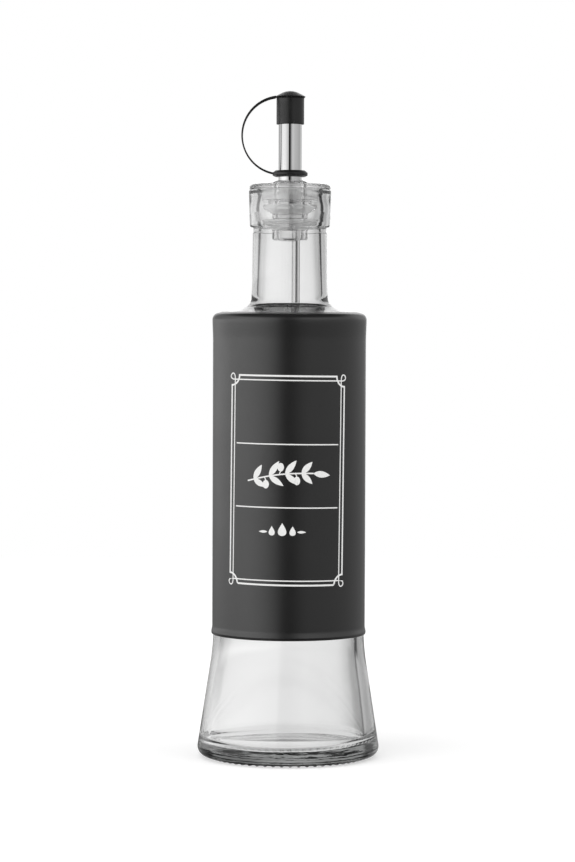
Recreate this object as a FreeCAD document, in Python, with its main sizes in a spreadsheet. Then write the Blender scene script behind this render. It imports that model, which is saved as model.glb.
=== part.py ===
# Oil cruet: a glass bottle with a flared foot, its metal sleeve, and a pouring stopper
# with a steel spout, a thin air tube and a rubber dust cap held by a strap.
#
# Millimetres. The bottle stands on z = 0 with its axis on Z, the sleeve's front faces -Y
# and the dust cap's strap loops out towards -X.

import FreeCAD
import Part
import os
import re

import Sketcher

# Driving dimensions. Each one can be changed by itself.
SIZES = {
    # glass bottle, outside
    "body_radius": 27.1,  # straight wall
    "body_height": 118.7,  # straight wall, from the flare up to the shoulder's corner
    "foot_spread": 6.15,  # beyond the body, at the base plane, before the heel is rounded
    "flare_height": 39.8,
    "flare_blend": 60.0,  # round between the flare and the straight wall
    "heel_round": 3.4,
    "shoulder_angle": 15.0,  # degrees above the horizontal
    "shoulder_round": 1.9,
    "neck_root_radius": 14.1,
    "neck_root_round": 3.0,
    "neck_waist_radius": 13.55,
    "neck_waist_height": 9.0,  # above the neck's root
    "neck_radius": 13.36,
    "neck_length": 28.2,
    "neck_groove_height": 2.2,  # shallow parting groove under the finish
    "neck_groove_depth": 0.25,
    "finish_height": 13.5,
    "finish_base_radius": 14.4,
    "finish_radius": 14.85,
    "finish_round": 0.9,
    # glass bottle, inside and underneath
    "glass_wall": 3.0,
    "base_thickness": 4.3,
    "floor_round": 4.0,
    "cavity_round": 3.0,  # under the shoulder
    "bore_radius": 10.3,  # at the mouth
    "mouth_round": 0.6,
    "bore_bulge": 1.1,  # swelling of the bore inside the finish
    "bulge_depth": 6.8,
    "bore_blend": 14.0,
    "throat_flare": 0.1,  # beyond the bore at the mouth
    "throat_depth": 12.2,  # below the mouth
    "bore_root_flare": 1.4,  # beyond the throat
    "bore_root_round": 5.0,
    "push_up_radius": 24.0,  # hollow under the base
    "push_up_height": 1.6,
    "knurl_count": 60,
    "knurl_height": 0.5,
    "knurl_width": 1.5,
    "knurl_tip": 0.5,
    "knurl_length": 4.4,
    "knurl_inset": 0.6,  # from the hollow's edge to the knurls
    # metal sleeve
    "sleeve_gap": 0.05,
    "sleeve_wall": 0.35,
    "sleeve_rise": 4.1,  # lower edge above the flare's corner
    "sleeve_turn_in": 3.5,  # how far the top edge folds in over the shoulder
    "sleeve_lip": 0.3,
    "sleeve_lip_height": 2.5,
    # pouring stopper
    "seat_gap": 0.05,
    "bore_gap": 0.05,
    "flange_radius": 14.6,
    "flange_edge": 1.5,
    "flange_round": 1.3,
    "flange_rise": 3.1,
    "hub_wall": 1.4,  # flat round the spout, on top of the flange
    "plug_depth": 3.9,
    "plug_waist_wall": 3.6,  # waist between the plug and the upper fin
    "barrel_wall": 2.2,
    "barrel_depth": 18.3,
    "barrel_round": 1.0,
    "upper_fin_depth": 5.5,
    "upper_fin_edge": 1.6,
    "upper_fin_height": 4.1,
    "upper_fin_clearance": 0.55,  # to the bore's mouth
    "upper_fin_round": 1.8,
    "lower_fin_depth": 11.1,
    "lower_fin_edge": 0.7,
    "lower_fin_step": 0.45,
    "lower_fin_height": 3.6,
    "lower_fin_clearance": 0.3,  # to the bore's throat
    # spout tube and air tube
    "tube_radius": 4.2,
    "tube_wall": 0.4,
    "tube_fit": 0.03,
    "tube_depth": 14.0,  # into the stopper
    "spout_length": 29.2,  # above the flange
    "vent_radius": 1.45,
    "vent_wall": 0.35,
    "vent_clearance": 0.2,
    "vent_top": 7.0,  # above the flange, inside the spout
    "vent_length": 81.0,  # below the stopper
    # rubber dust cap, strap and ring
    "cap_fit": 0.05,
    "cap_wall": 0.72,
    "cap_end_gap": 0.2,
    "cap_skirt": 9.3,
    "cap_brim": 0.55,  # beyond the skirt
    "cap_brim_height": 0.6,
    "cap_dome": 2.6,
    "cap_crown_radius": 1.7,
    "cap_crown_round": 6.0,
    "ring_gap": 1.3,  # above the flange
    "ring_width": 2.05,
    "ring_height": 2.3,
    "ring_edge": 1.0,
    "ring_droop": 0.5,
    "strap_reach": 17.25,  # from the spout's axis to the strap's middle
    "strap_width": 2.4,
    "strap_middle": 0.6,
    "strap_at_cap": 1.0,
    "strap_at_ring": 0.75,
    "strap_round": 0.2,
    "strap_root": 0.9,  # how far inside the cap's and ring's edges the strap starts
}

# Values that follow from the sizes.
DERIVED = {
    # glass bottle
    "base_plane": "knurl_height",
    "flare_top": "base_plane + flare_height",
    "shoulder_corner": "flare_top + body_height",
    "neck_root": "shoulder_corner + (body_radius - neck_root_radius) * tan(shoulder_angle)",
    "finish_base": "neck_root + neck_length",
    "finish_top": "finish_base + finish_height",
    "floor_height": "base_plane + base_thickness",
    "foot_radius": "body_radius + foot_spread",
    "flare_slope": "foot_spread / flare_height",
    "floor_radius": "foot_radius - flare_slope * base_thickness - glass_wall",
    "cavity_radius": "body_radius - glass_wall",
    # a surface parallel to the shoulder, one unit further out, has its corner this much higher
    "corner_shift": "(1 / cos(shoulder_angle) - tan(shoulder_angle))",
    "cavity_corner": "shoulder_corner - glass_wall * corner_shift",
    "throat_radius": "bore_radius + throat_flare",
    "bore_root_radius": "throat_radius + bore_root_flare",
    "bore_root": "cavity_corner + (cavity_radius - bore_root_radius) * tan(shoulder_angle)",
    "throat_height": "finish_top - throat_depth",
    "bulge_height": "finish_top - bulge_depth",
    "push_up_sphere": "(push_up_radius ^ 2 + push_up_height ^ 2) / (2 * push_up_height)",
    # sleeve
    "sleeve_inner": "body_radius + sleeve_gap",
    "sleeve_outer": "sleeve_inner + sleeve_wall",
    "sleeve_base": "flare_top + sleeve_rise",
    "sleeve_lip_top": "sleeve_base + sleeve_lip_height",
    "sleeve_edge_radius": "sleeve_outer - sleeve_turn_in",
    "sleeve_inner_corner": "shoulder_corner + sleeve_gap * corner_shift",
    "sleeve_outer_corner": "shoulder_corner + (sleeve_gap + sleeve_wall) * corner_shift",
    "sleeve_inner_edge": "sleeve_inner_corner + (sleeve_inner - sleeve_edge_radius) * tan(shoulder_angle)",
    "sleeve_outer_edge": "sleeve_outer_corner + (sleeve_outer - sleeve_edge_radius) * tan(shoulder_angle)",
    # stopper
    "seat": "finish_top + seat_gap",
    "flange_top": "seat + flange_rise",
    "plug_radius": "bore_radius - bore_gap",
    "plug_base": "seat - plug_depth",
    "tube_hole": "tube_radius + tube_fit",
    "barrel_radius": "tube_radius + barrel_wall",
    "barrel_base": "seat - barrel_depth",
    "plug_waist_radius": "tube_radius + plug_waist_wall",
    "upper_fin_top": "seat - upper_fin_depth",
    "upper_fin_radius": "bore_radius - upper_fin_clearance",
    "lower_fin_top": "seat - lower_fin_depth",
    "lower_fin_radius": "throat_radius - lower_fin_clearance",
    # tubes
    "tube_base": "seat - tube_depth",
    "tube_top": "flange_top + spout_length",
    "tube_bore": "tube_radius - tube_wall",
    "vent_offset": "tube_bore - vent_radius - vent_clearance",
    "vent_base": "barrel_base - vent_length",
    "vent_end": "flange_top + vent_top",
    # dust cap
    "cap_bore": "tube_radius + cap_fit",
    "cap_radius": "cap_bore + cap_wall",
    "cap_ceiling": "tube_top + cap_end_gap",
    "brim_base": "cap_ceiling",
    "brim_top": "brim_base + cap_brim_height",
    "brim_radius": "cap_radius + cap_brim",
    "cap_base": "brim_base - cap_skirt",
    "ring_base": "flange_top + ring_gap",
    "ring_top": "ring_base + ring_height",
    "ring_radius": "cap_bore + ring_width",
    "ring_edge_base": "ring_base + ring_droop",
    # the strap's centre line is an arc through its two roots and its middle
    "strap_upper": "brim_base + cap_brim_height",
    "strap_lower": "ring_edge_base + ring_edge / 2",
    "strap_half": "(strap_upper - strap_lower) / 2",
    "strap_start": "tube_radius + strap_root",
    "strap_bow": "strap_reach - strap_start",
    "strap_radius": "(strap_bow ^ 2 + strap_half ^ 2) / (2 * strap_bow)",
    "strap_centre": "strap_reach - strap_radius",
    "strap_level": "strap_lower + strap_half",
    "strap_end_mean": "(strap_at_cap + strap_at_ring) / 2",
    "strap_outer_radius": "strap_radius + strap_middle / 2",
    "strap_inner_radius": "strap_outer_radius - strap_end_mean",
    "strap_inner_centre": "strap_centre + strap_end_mean - strap_middle",
    "strap_inner_level": "strap_level - (strap_at_cap - strap_at_ring) / 2",
}

OVERLAP = 0.3  # how far a fused feature reaches into its neighbour
TOLERANCE = 1e-4

doc = FreeCAD.newDocument("oil_cruet")
sheet = doc.addObject("Spreadsheet::Sheet", "Sizes")
for row, (alias, size) in enumerate(SIZES.items(), start=1):
    sheet.set(f"A{row}", alias)
    sheet.set(f"B{row}", str(size))
    sheet.setAlias(f"B{row}", alias)
doc.recompute()


def formula(text):
    """Writes a formula out in the sheet's cells."""

    def cell(word):
        name = word.group(0)
        if name in DERIVED:
            return "(" + formula(DERIVED[name]) + ")"
        return "Sizes." + name if name in SIZES else name

    return re.sub(r"[a-z][a-z_]*", cell, text)


def value(text):
    """Gives a formula's present value."""
    number = sheet.evalExpression(formula(text))
    return float(getattr(number, "Value", number))


def new_body(name):
    body = doc.addObject("PartDesign::Body", name)
    body.Label = name
    return body


def origin(body, role):
    """Finds one of a body's own origin planes or axes."""
    return next(item for item in body.Origin.OriginFeatures if item.Role == role)


def new_sketch(body, name, plane):
    sketch = body.newObject("Sketcher::SketchObject", name)
    sketch.AttachmentSupport = [(origin(body, plane), "")]
    sketch.MapMode = "FlatFace"
    return sketch


def measure(sketch, kind, geometry, point, text, label):
    """Holds a point's distance from the sketch's origin to a formula."""
    size = value(text)
    if abs(size) < TOLERANCE:
        axis = -2 if kind == "DistanceX" else -1
        sketch.addConstraint(Sketcher.Constraint("PointOnObject", geometry, point, axis))
        return
    if size > 0:
        ends = (-1, 1, geometry, point)
    else:
        ends = (geometry, point, -1, 1)
        text = "-(" + text + ")"
    index = sketch.addConstraint(Sketcher.Constraint(kind, *ends, abs(size)))
    sketch.renameConstraint(index, label)
    sketch.setExpression("Constraints." + label, formula(text))


def hold_radius(sketch, geometry, text, label):
    index = sketch.addConstraint(Sketcher.Constraint("Radius", geometry, value(text)))
    sketch.renameConstraint(index, label)
    sketch.setExpression("Constraints." + label, formula(text))


def polygon(body, name, corners, plane="XZ_Plane"):
    """Draws a closed straight-sided outline whose corners are pairs of formulas."""
    sketch = new_sketch(body, name, plane)
    points = [FreeCAD.Vector(value(across), value(up), 0) for across, up in corners]
    count = len(points)
    for index in range(count):
        sketch.addGeometry(Part.LineSegment(points[index], points[(index + 1) % count]), False)
    for index in range(count):
        following = (index + 1) % count
        sketch.addConstraint(Sketcher.Constraint("Coincident", index, 2, following, 1))
    for index, (across, up) in enumerate(corners):
        measure(sketch, "DistanceX", index, 1, across, f"across_{index}")
        measure(sketch, "DistanceY", index, 1, up, f"up_{index}")
    return sketch


def turn(body, kind, name, corners):
    """Revolves a half section, given as radius and height formulas, about the body's Z axis."""
    sketch = polygon(body, name + "Section", corners)
    feature = body.newObject("PartDesign::" + kind, name)
    feature.Profile = sketch
    feature.ReferenceAxis = (sketch, ["V_Axis"])
    feature.Angle = 360
    doc.recompute()
    return feature


def round_circles(body, name, radius, circles):
    """Rounds the circular edges that have the given radius and centre height formulas."""
    base = body.Tip
    wanted = [(value(across), value(up)) for across, up in circles]
    names = []
    for index, edge in enumerate(base.Shape.Edges, start=1):
        curve = edge.Curve
        if not isinstance(curve, Part.Circle):
            continue
        for across, up in wanted:
            if abs(curve.Radius - across) < TOLERANCE and abs(curve.Center.z - up) < TOLERANCE:
                names.append(f"Edge{index}")
    if len(names) < len(wanted):
        raise RuntimeError(f"{name}: {len(names)} edges found for {len(wanted)} circles")
    fillet = body.newObject("PartDesign::Fillet", name)
    fillet.Base = (base, names)
    fillet.setExpression("Radius", formula(radius))
    doc.recompute()


def hollow(body, name, corners):
    """Cuts a turned half section out of a body, and makes sure that it takes material away."""
    before = body.Tip.Shape.Volume
    turn(body, "Groove", name, corners)
    if body.Tip.Shape.Volume > before - TOLERANCE:
        raise RuntimeError(name + " cuts nothing")


def make_bottle():
    body = new_body("bottle")
    groove_base = "finish_base - neck_groove_height"
    groove_radius = "neck_radius - neck_groove_depth"
    waist_height = "neck_root + neck_waist_height"
    outside = [
        ("0", "base_plane"),
        ("foot_radius", "base_plane"),
        ("body_radius", "flare_top"),
        ("body_radius", "shoulder_corner"),
        ("neck_root_radius", "neck_root"),
        ("neck_waist_radius", waist_height),
        ("neck_radius", groove_base),
        (groove_radius, groove_base),
        (groove_radius, "finish_base"),
        ("finish_base_radius", "finish_base"),
        ("finish_radius", "finish_top"),
        ("0", "finish_top"),
    ]
    turn(body, "Revolution", "Blank", outside)
    round_circles(body, "HeelRound", "heel_round", [outside[1]])
    round_circles(body, "FlareBlend", "flare_blend", [outside[2]])
    round_circles(body, "ShoulderRound", "shoulder_round", [outside[3]])
    round_circles(body, "NeckRootRound", "neck_root_round", [outside[4]])
    round_circles(body, "FinishRounds", "finish_round", [outside[9], outside[10]])

    inside = [
        ("0", "floor_height"),
        ("floor_radius", "floor_height"),
        ("cavity_radius", "flare_top"),
        ("cavity_radius", "cavity_corner"),
        ("bore_root_radius", "bore_root"),
        ("throat_radius", "throat_height"),
        ("bore_radius + bore_bulge", "bulge_height"),
        ("bore_radius", "finish_top"),
        ("0", "finish_top"),
    ]
    hollow(body, "Cavity", inside)
    round_circles(body, "FloorRound", "floor_round", [inside[1]])
    round_circles(body, "CavityBlend", "flare_blend", [inside[2]])
    round_circles(body, "CavityRound", "cavity_round", [inside[3]])
    round_circles(body, "BoreRootRound", "bore_root_round", [inside[4]])
    round_circles(body, "BoreBlends", "bore_blend", [inside[5], inside[6]])
    round_circles(body, "MouthRound", "mouth_round", [inside[7]])

    push_up = body.newObject("PartDesign::SubtractiveSphere", "PushUp")
    push_up.setExpression("Radius", formula("push_up_sphere"))
    push_up.setExpression(
        "Placement.Base.z", formula("base_plane + push_up_height - push_up_sphere")
    )
    doc.recompute()
    knurl_bearing(body)
    return body


def knurl_bearing(body):
    """Adds the ring of short radial ridges that the bottle stands on."""
    section = polygon(
        body,
        "KnurlSection",
        [
            ("-knurl_tip / 2", "0"),
            ("knurl_tip / 2", "0"),
            ("knurl_width / 2", "base_plane"),
            ("knurl_width / 2", f"base_plane + {OVERLAP}"),
            ("-knurl_width / 2", f"base_plane + {OVERLAP}"),
            ("-knurl_width / 2", "base_plane"),
        ],
        "YZ_Plane",
    )
    section.setExpression("AttachmentOffset.Base.z", formula("push_up_radius + knurl_inset"))
    knurl = body.newObject("PartDesign::Pad", "Knurl")
    knurl.Profile = section
    knurl.setExpression("Length", formula("knurl_length"))
    doc.recompute()
    ring = body.newObject("PartDesign::PolarPattern", "KnurlRing")
    ring.Originals = [knurl]
    ring.Axis = (origin(body, "Z_Axis"), [""])
    ring.Angle = 360
    ring.setExpression("Occurrences", formula("knurl_count"))
    body.Tip = ring
    doc.recompute()


def make_sleeve():
    body = new_body("sleeve")
    section = [
        ("sleeve_inner + sleeve_lip", "sleeve_base"),
        ("sleeve_outer + sleeve_lip", "sleeve_base"),
        ("sleeve_outer", "sleeve_lip_top"),
        ("sleeve_outer", "sleeve_outer_corner"),
        ("sleeve_edge_radius", "sleeve_outer_edge"),
        ("sleeve_edge_radius", "sleeve_inner_edge"),
        ("sleeve_inner", "sleeve_inner_corner"),
        ("sleeve_inner", "sleeve_lip_top"),
    ]
    turn(body, "Revolution", "Shell", section)
    outer_round = "shoulder_round + sleeve_gap + sleeve_wall"
    round_circles(body, "OuterRound", outer_round, [section[3]])
    round_circles(body, "InnerRound", "shoulder_round + sleeve_gap", [section[6]])
    return body


def make_stopper():
    body = new_body("stopper")
    hub_radius = "tube_radius + hub_wall"
    flange_edge_top = "seat + flange_edge"
    plug = [
        ("0", "flange_top"),
        (hub_radius, "flange_top"),
        ("flange_radius", flange_edge_top),
        ("flange_radius", "seat"),
        ("plug_radius", "seat"),
        ("plug_radius", "plug_base"),
        ("0", "plug_base"),
    ]
    turn(body, "Revolution", "FlangeAndPlug", plug)
    round_circles(body, "FlangeRound", "flange_round", [plug[2]])

    waist_base = f"upper_fin_top - {OVERLAP}"
    waist = [
        ("0", f"plug_base + {OVERLAP}"),
        ("plug_waist_radius", f"plug_base + {OVERLAP}"),
        ("plug_waist_radius", waist_base),
        ("0", waist_base),
    ]
    turn(body, "Revolution", "Waist", waist)

    upper_edge_base = "upper_fin_top - upper_fin_edge"
    upper_fin_base = "upper_fin_top - upper_fin_height"
    upper_fin = [
        ("0", "upper_fin_top"),
        ("upper_fin_radius", "upper_fin_top"),
        ("upper_fin_radius", upper_edge_base),
        ("barrel_radius", upper_fin_base),
        ("0", upper_fin_base),
    ]
    turn(body, "Revolution", "UpperFin", upper_fin)
    round_circles(body, "UpperFinRound", "upper_fin_round", [upper_fin[2]])

    barrel = [
        ("0", f"upper_fin_top - upper_fin_height + {OVERLAP}"),
        ("barrel_radius", f"upper_fin_top - upper_fin_height + {OVERLAP}"),
        ("barrel_radius", "barrel_base"),
        ("0", "barrel_base"),
    ]
    turn(body, "Revolution", "Barrel", barrel)
    round_circles(body, "BarrelRound", "barrel_round", [barrel[2]])

    step_base = "lower_fin_top - lower_fin_edge"
    step_radius = "lower_fin_radius - lower_fin_step"
    lower_edge_base = "lower_fin_top - 2 * lower_fin_edge"
    lower_fin_base = "lower_fin_top - lower_fin_height"
    lower_fin = [
        ("0", "lower_fin_top"),
        ("lower_fin_radius", "lower_fin_top"),
        ("lower_fin_radius", step_base),
        (step_radius, step_base),
        (step_radius, lower_edge_base),
        ("barrel_radius", lower_fin_base),
        ("0", lower_fin_base),
    ]
    turn(body, "Revolution", "LowerFin", lower_fin)

    bore = [
        ("0", f"flange_top + {OVERLAP}"),
        ("tube_hole", f"flange_top + {OVERLAP}"),
        ("tube_hole", "tube_base"),
        ("tube_bore", "tube_base"),
        ("tube_bore", f"barrel_base - {OVERLAP}"),
        ("0", f"barrel_base - {OVERLAP}"),
    ]
    hollow(body, "TubeSocket", bore)
    return body


def make_tube(name, outer, inner, base, top, offset="0"):
    """Turns a straight tube, standing beside the Z axis by the given offset along X."""
    body = new_body(name)
    turn(body, "Revolution", "Wall", [(inner, base), (outer, base), (outer, top), (inner, top)])
    body.setExpression("Placement.Base.x", formula(offset))
    return body


def make_dust_cap():
    body = new_body("dust_cap")
    cap = [
        ("0", "cap_base"),
        ("cap_radius", "cap_base"),
        ("cap_radius", "brim_base"),
        ("brim_radius", "brim_top"),
        ("cap_crown_radius", "brim_base + cap_dome"),
        ("0", "brim_base + cap_dome"),
    ]
    turn(body, "Revolution", "Cap", cap)
    round_circles(body, "CrownRound", "cap_crown_round", [cap[4]])
    add_strap(body)
    ring_edge_top = "ring_edge_base + ring_edge"
    ring = [
        ("0", "ring_base"),
        ("ring_radius - ring_edge", "ring_base"),
        ("ring_radius", "ring_edge_base"),
        ("ring_radius", ring_edge_top),
        ("ring_radius - ring_edge", "ring_top"),
        ("0", "ring_top"),
    ]
    turn(body, "Revolution", "Ring", ring)
    spout_in_ring = [
        ("0", f"ring_base - {OVERLAP}"),
        ("cap_bore", f"ring_base - {OVERLAP}"),
        ("cap_bore", f"ring_top + {OVERLAP}"),
        ("0", f"ring_top + {OVERLAP}"),
    ]
    hollow(body, "RingHole", spout_in_ring)
    spout_in_cap = [
        ("0", f"cap_base - {OVERLAP}"),
        ("cap_bore", f"cap_base - {OVERLAP}"),
        ("cap_bore", "cap_ceiling"),
        ("0", "cap_ceiling"),
    ]
    hollow(body, "CapBore", spout_in_cap)
    return body


def add_strap(body):
    """Adds the strap, thinnest at its middle, between two arcs with slightly different centres."""
    sketch = new_sketch(body, "StrapOutline", "XZ_Plane")
    arcs = [
        ("strap_outer_radius", "strap_centre", "strap_level"),
        ("strap_inner_radius", "strap_inner_centre", "strap_inner_level"),
    ]
    end = -value("strap_start")
    tips = []
    for radius, centre, level in arcs:
        reach = value(radius)
        middle = FreeCAD.Vector(-value(centre), value(level), 0)
        rise = FreeCAD.Vector(0, (reach**2 - (end - middle.x) ** 2) ** 0.5, 0)
        root = FreeCAD.Vector(end, middle.y, 0)
        far = middle - FreeCAD.Vector(reach, 0, 0)
        sketch.addGeometry(Part.Arc(root + rise, far, root - rise), False)
        tips.append((root + rise, root - rise))
    for outer_tip, inner_tip in zip(*tips):
        sketch.addGeometry(Part.LineSegment(outer_tip, inner_tip), False)
    for arc, (radius, centre, level) in enumerate(arcs):
        hold_radius(sketch, arc, radius, f"radius_{arc}")
        measure(sketch, "DistanceX", arc, 3, f"-({centre})", f"centre_{arc}")
        measure(sketch, "DistanceY", arc, 3, level, f"level_{arc}")
        # the end lines, 2 and 3, start on the outer arc and end on the inner one
        sketch.addConstraint(Sketcher.Constraint("Coincident", arc, 1, 2, arc + 1))
        sketch.addConstraint(Sketcher.Constraint("Coincident", arc, 2, 3, arc + 1))
    for line in (2, 3):
        sketch.addConstraint(Sketcher.Constraint("Vertical", line))
        measure(sketch, "DistanceX", line, 1, "-strap_start", f"start_{line}")
    strap = body.newObject("PartDesign::Pad", "Strap")
    strap.Profile = sketch
    strap.SideType = "Symmetric"
    strap.setExpression("Length", formula("strap_width"))
    doc.recompute()
    edges = [("strap_outer_radius", "strap_level"), ("strap_inner_radius", "strap_inner_level")]
    round_circles(body, "StrapRound", "strap_round", edges)


parts = [
    make_bottle(),
    make_sleeve(),
    make_stopper(),
    make_tube("spout_tube", "tube_radius", "tube_bore", "tube_base", "tube_top"),
    make_tube(
        "vent_tube",
        "vent_radius",
        "vent_radius - vent_wall",
        "vent_base",
        "vent_end",
        "vent_offset",
    ),
    make_dust_cap(),
]
doc.recompute()

for item in doc.Objects:
    if "Invalid" in item.State or "Error" in item.State:
        raise RuntimeError(f"{item.Label} failed: {item.State}")
for body in parts:
    if body.Shape.isNull() or not body.Shape.isValid():
        raise RuntimeError(body.Label + " has no valid shape")
    if len(body.Shape.Solids) != 1:
        raise RuntimeError(body.Label + " isn't one solid")

os.makedirs("parts", exist_ok=True)
for body in parts:
    body.Shape.exportStep(f"parts/{body.Label}.step")
    box = body.Shape.BoundBox
    print(
        f"{body.Label}: {body.Shape.Volume / 1000:.2f} cm3,"
        f" x {box.XMin:.2f} to {box.XMax:.2f}, y {box.YMin:.2f} to {box.YMax:.2f},"
        f" z {box.ZMin:.2f} to {box.ZMax:.2f}"
    )
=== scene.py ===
# %% [markdown]
# # An oil cruet: clear glass, a painted metal sleeve, a pouring stopper and a dust cap
#
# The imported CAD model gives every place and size, so it is loaded first and never moved.
# Each piece is then modelled again with smooth surfaces, because glass and polished steel
# show every facet of a coarse mesh. A cell of text stands before each step.

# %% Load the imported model
import math

import bmesh
import bpy
from mathutils import Matrix, Vector


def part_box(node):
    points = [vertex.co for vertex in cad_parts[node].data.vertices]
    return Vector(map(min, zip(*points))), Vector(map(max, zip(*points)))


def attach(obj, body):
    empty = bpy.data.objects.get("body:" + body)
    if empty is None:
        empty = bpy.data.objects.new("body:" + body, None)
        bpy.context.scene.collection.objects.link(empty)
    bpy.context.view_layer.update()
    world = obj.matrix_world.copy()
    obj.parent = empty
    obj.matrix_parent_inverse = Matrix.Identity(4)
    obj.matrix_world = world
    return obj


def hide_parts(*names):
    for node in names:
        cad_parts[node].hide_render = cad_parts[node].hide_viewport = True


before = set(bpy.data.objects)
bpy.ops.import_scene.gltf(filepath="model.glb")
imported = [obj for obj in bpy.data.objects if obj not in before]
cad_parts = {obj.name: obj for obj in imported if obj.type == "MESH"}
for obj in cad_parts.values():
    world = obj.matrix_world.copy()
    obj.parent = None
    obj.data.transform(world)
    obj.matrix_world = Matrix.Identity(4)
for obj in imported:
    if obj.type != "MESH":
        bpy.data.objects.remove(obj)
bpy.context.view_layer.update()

# %% [markdown]
# ## The camera
#
# The cruet is seen from the front, from just over a metre away and level with its shoulder,
# and the camera looks a little down. A long lens at that distance keeps the foot and the
# neck nearly free of perspective. The lens is worked out from the height that has to fit in
# the picture, and a fifth of a degree of roll gives the slight lean of a camera that isn't
# quite level.

# %% Camera
CAMERA_DISTANCE = 1.066  # metres, as the next four are
EYE_HEIGHT = 0.1573
AIM_HEIGHT = 0.1174
AIM_SIDE = -0.0006
SEEN_HEIGHT = 0.3103  # at the cruet's axis, from the lower to the upper edge of the picture
CAMERA_ROLL = math.radians(0.21)

eye = Vector((AIM_SIDE, -CAMERA_DISTANCE, EYE_HEIGHT))
aim = Vector((AIM_SIDE, 0, AIM_HEIGHT))
bpy.ops.object.camera_add(location=eye)
camera = bpy.context.object
camera.name = "Camera"
camera.data.lens = camera.data.sensor_width * (aim - eye).length / SEEN_HEIGHT
camera.rotation_mode = "QUATERNION"
turn = (aim - eye).to_track_quat("-Z", "Y")
camera.rotation_quaternion = turn @ Matrix.Rotation(CAMERA_ROLL, 3, "Z").to_quaternion()
bpy.context.scene.camera = camera
bpy.context.scene.view_settings.view_transform = "Standard"
print("lens", round(camera.data.lens, 1), "mm")

# %% [markdown]
# ## Materials as small node graphs
#
# A material here is a list of nodes wired by hand. Short helpers keep that readable: the
# first adds a node and fills its sockets, where a socket gets either a plain value or the
# output of another node. The others start an empty material and add the nodes that nearly
# every finish needs: noise, a bump, and a shade that wanders between two greys.

# %% Node helpers
def add_node(tree, kind, inputs=None, **settings):
    """Adds a shader node, sets its options, and fills or links its sockets."""
    node = tree.nodes.new(kind)
    for option, setting in settings.items():
        setattr(node, option, setting)
    for socket, source in (inputs or {}).items():
        if isinstance(source, bpy.types.NodeSocket):
            tree.links.new(source, node.inputs[socket])
        else:
            node.inputs[socket].default_value = source
    return node


def start_material(name):
    """An empty material, its node tree and its output node."""
    material = bpy.data.materials.new(name)
    material.use_nodes = True
    tree = material.node_tree
    tree.nodes.clear()
    print("material", name)
    return material, tree, add_node(tree, "ShaderNodeOutputMaterial")


def object_space(tree, stretch=(1, 1, 1)):
    """Object coordinates. A stretch below 1 draws the pattern out along that axis."""
    place = add_node(tree, "ShaderNodeTexCoord").outputs["Object"]
    if stretch == (1, 1, 1):
        return place
    return add_node(tree, "ShaderNodeMapping", {"Vector": place, "Scale": stretch}).outputs[0]


def noise(tree, vector, scale, detail=2.0):
    """Noise with a scale in waves per metre."""
    return add_node(tree, "ShaderNodeTexNoise",
                    {"Vector": vector, "Scale": scale, "Detail": detail}).outputs["Fac"]


def map_range(tree, source, source_span, low=0.0, high=1.0):
    """Maps a span of the source onto low to high, and holds the ends beyond it."""
    return add_node(tree, "ShaderNodeMapRange",
                    {"Value": source, "From Min": source_span[0], "From Max": source_span[1],
                     "To Min": low, "To Max": high}).outputs["Result"]


NOISE_MIDDLE = (0.3, 0.7)  # the part of noise's range that most of a surface has


def spread(tree, source, low, high):
    """Maps the middle of a noise's range onto low to high."""
    return map_range(tree, source, NOISE_MIDDLE, low, high)


def bump_from(tree, height, strength, distance, over=None):
    """A bump whose height of 1 stands for a distance in metres, over another one if given."""
    inputs = {"Strength": strength, "Distance": distance, "Height": height}
    if over is not None:
        inputs["Normal"] = over
    return add_node(tree, "ShaderNodeBump", inputs).outputs["Normal"]


def grey(level):
    return (level, level, level, 1)


def shade_between(tree, factor, first, second):
    """A colour that goes from the first to the second as the factor goes from 0 to 1."""
    return add_node(tree, "ShaderNodeMix", {0: factor, 6: first, 7: second},
                    data_type="RGBA").outputs[2]


def show(tree, shader, output):
    tree.links.new(shader.outputs[0], output.inputs["Surface"])


# %% [markdown]
# ## Clear glass
#
# Flint glass is a transmissive shader with an index of 1.5. Two things make it look like a
# thick pressed bottle and not like a soap bubble. Absorption inside the body darkens long
# paths, so a wall seen edge-on is greyer than one seen face-on. And the skin is never flat:
# it cooled against an iron mould, which leaves faint ripples, and coarser waves in the heavy
# base, and a bump holds both. Lamps can't shine through a refracting shader, so shadow rays
# meet a Transparent shader instead, and what stands behind or inside the glass is lit.

# %% Glass and plastic
HAZE_WAVES = 90  # waves per metre, for patches that are a little less clear
BASE_WAVES = 110  # waves per metre, for the uneven glass of the base
BASE_FLATTEN = (1, 1, 4)  # these waves are four times as short in height
BASE_FADE = (0.0045, 0.0085)  # metres above the floor between which they die out


def base_swell(tree, place, height):
    """The waves of the base, as high as asked up to where they begin to die out."""
    flat = add_node(tree, "ShaderNodeMapping", {"Vector": place, "Scale": BASE_FLATTEN})
    swirl = noise(tree, flat.outputs[0], BASE_WAVES, detail=3)
    level = add_node(tree, "ShaderNodeSeparateXYZ", {0: place}).outputs["Z"]
    return add_node(tree, "ShaderNodeMath",
                    {0: swirl, 1: map_range(tree, level, BASE_FADE, height, 0.0)},
                    operation="MULTIPLY").outputs[0]


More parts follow.
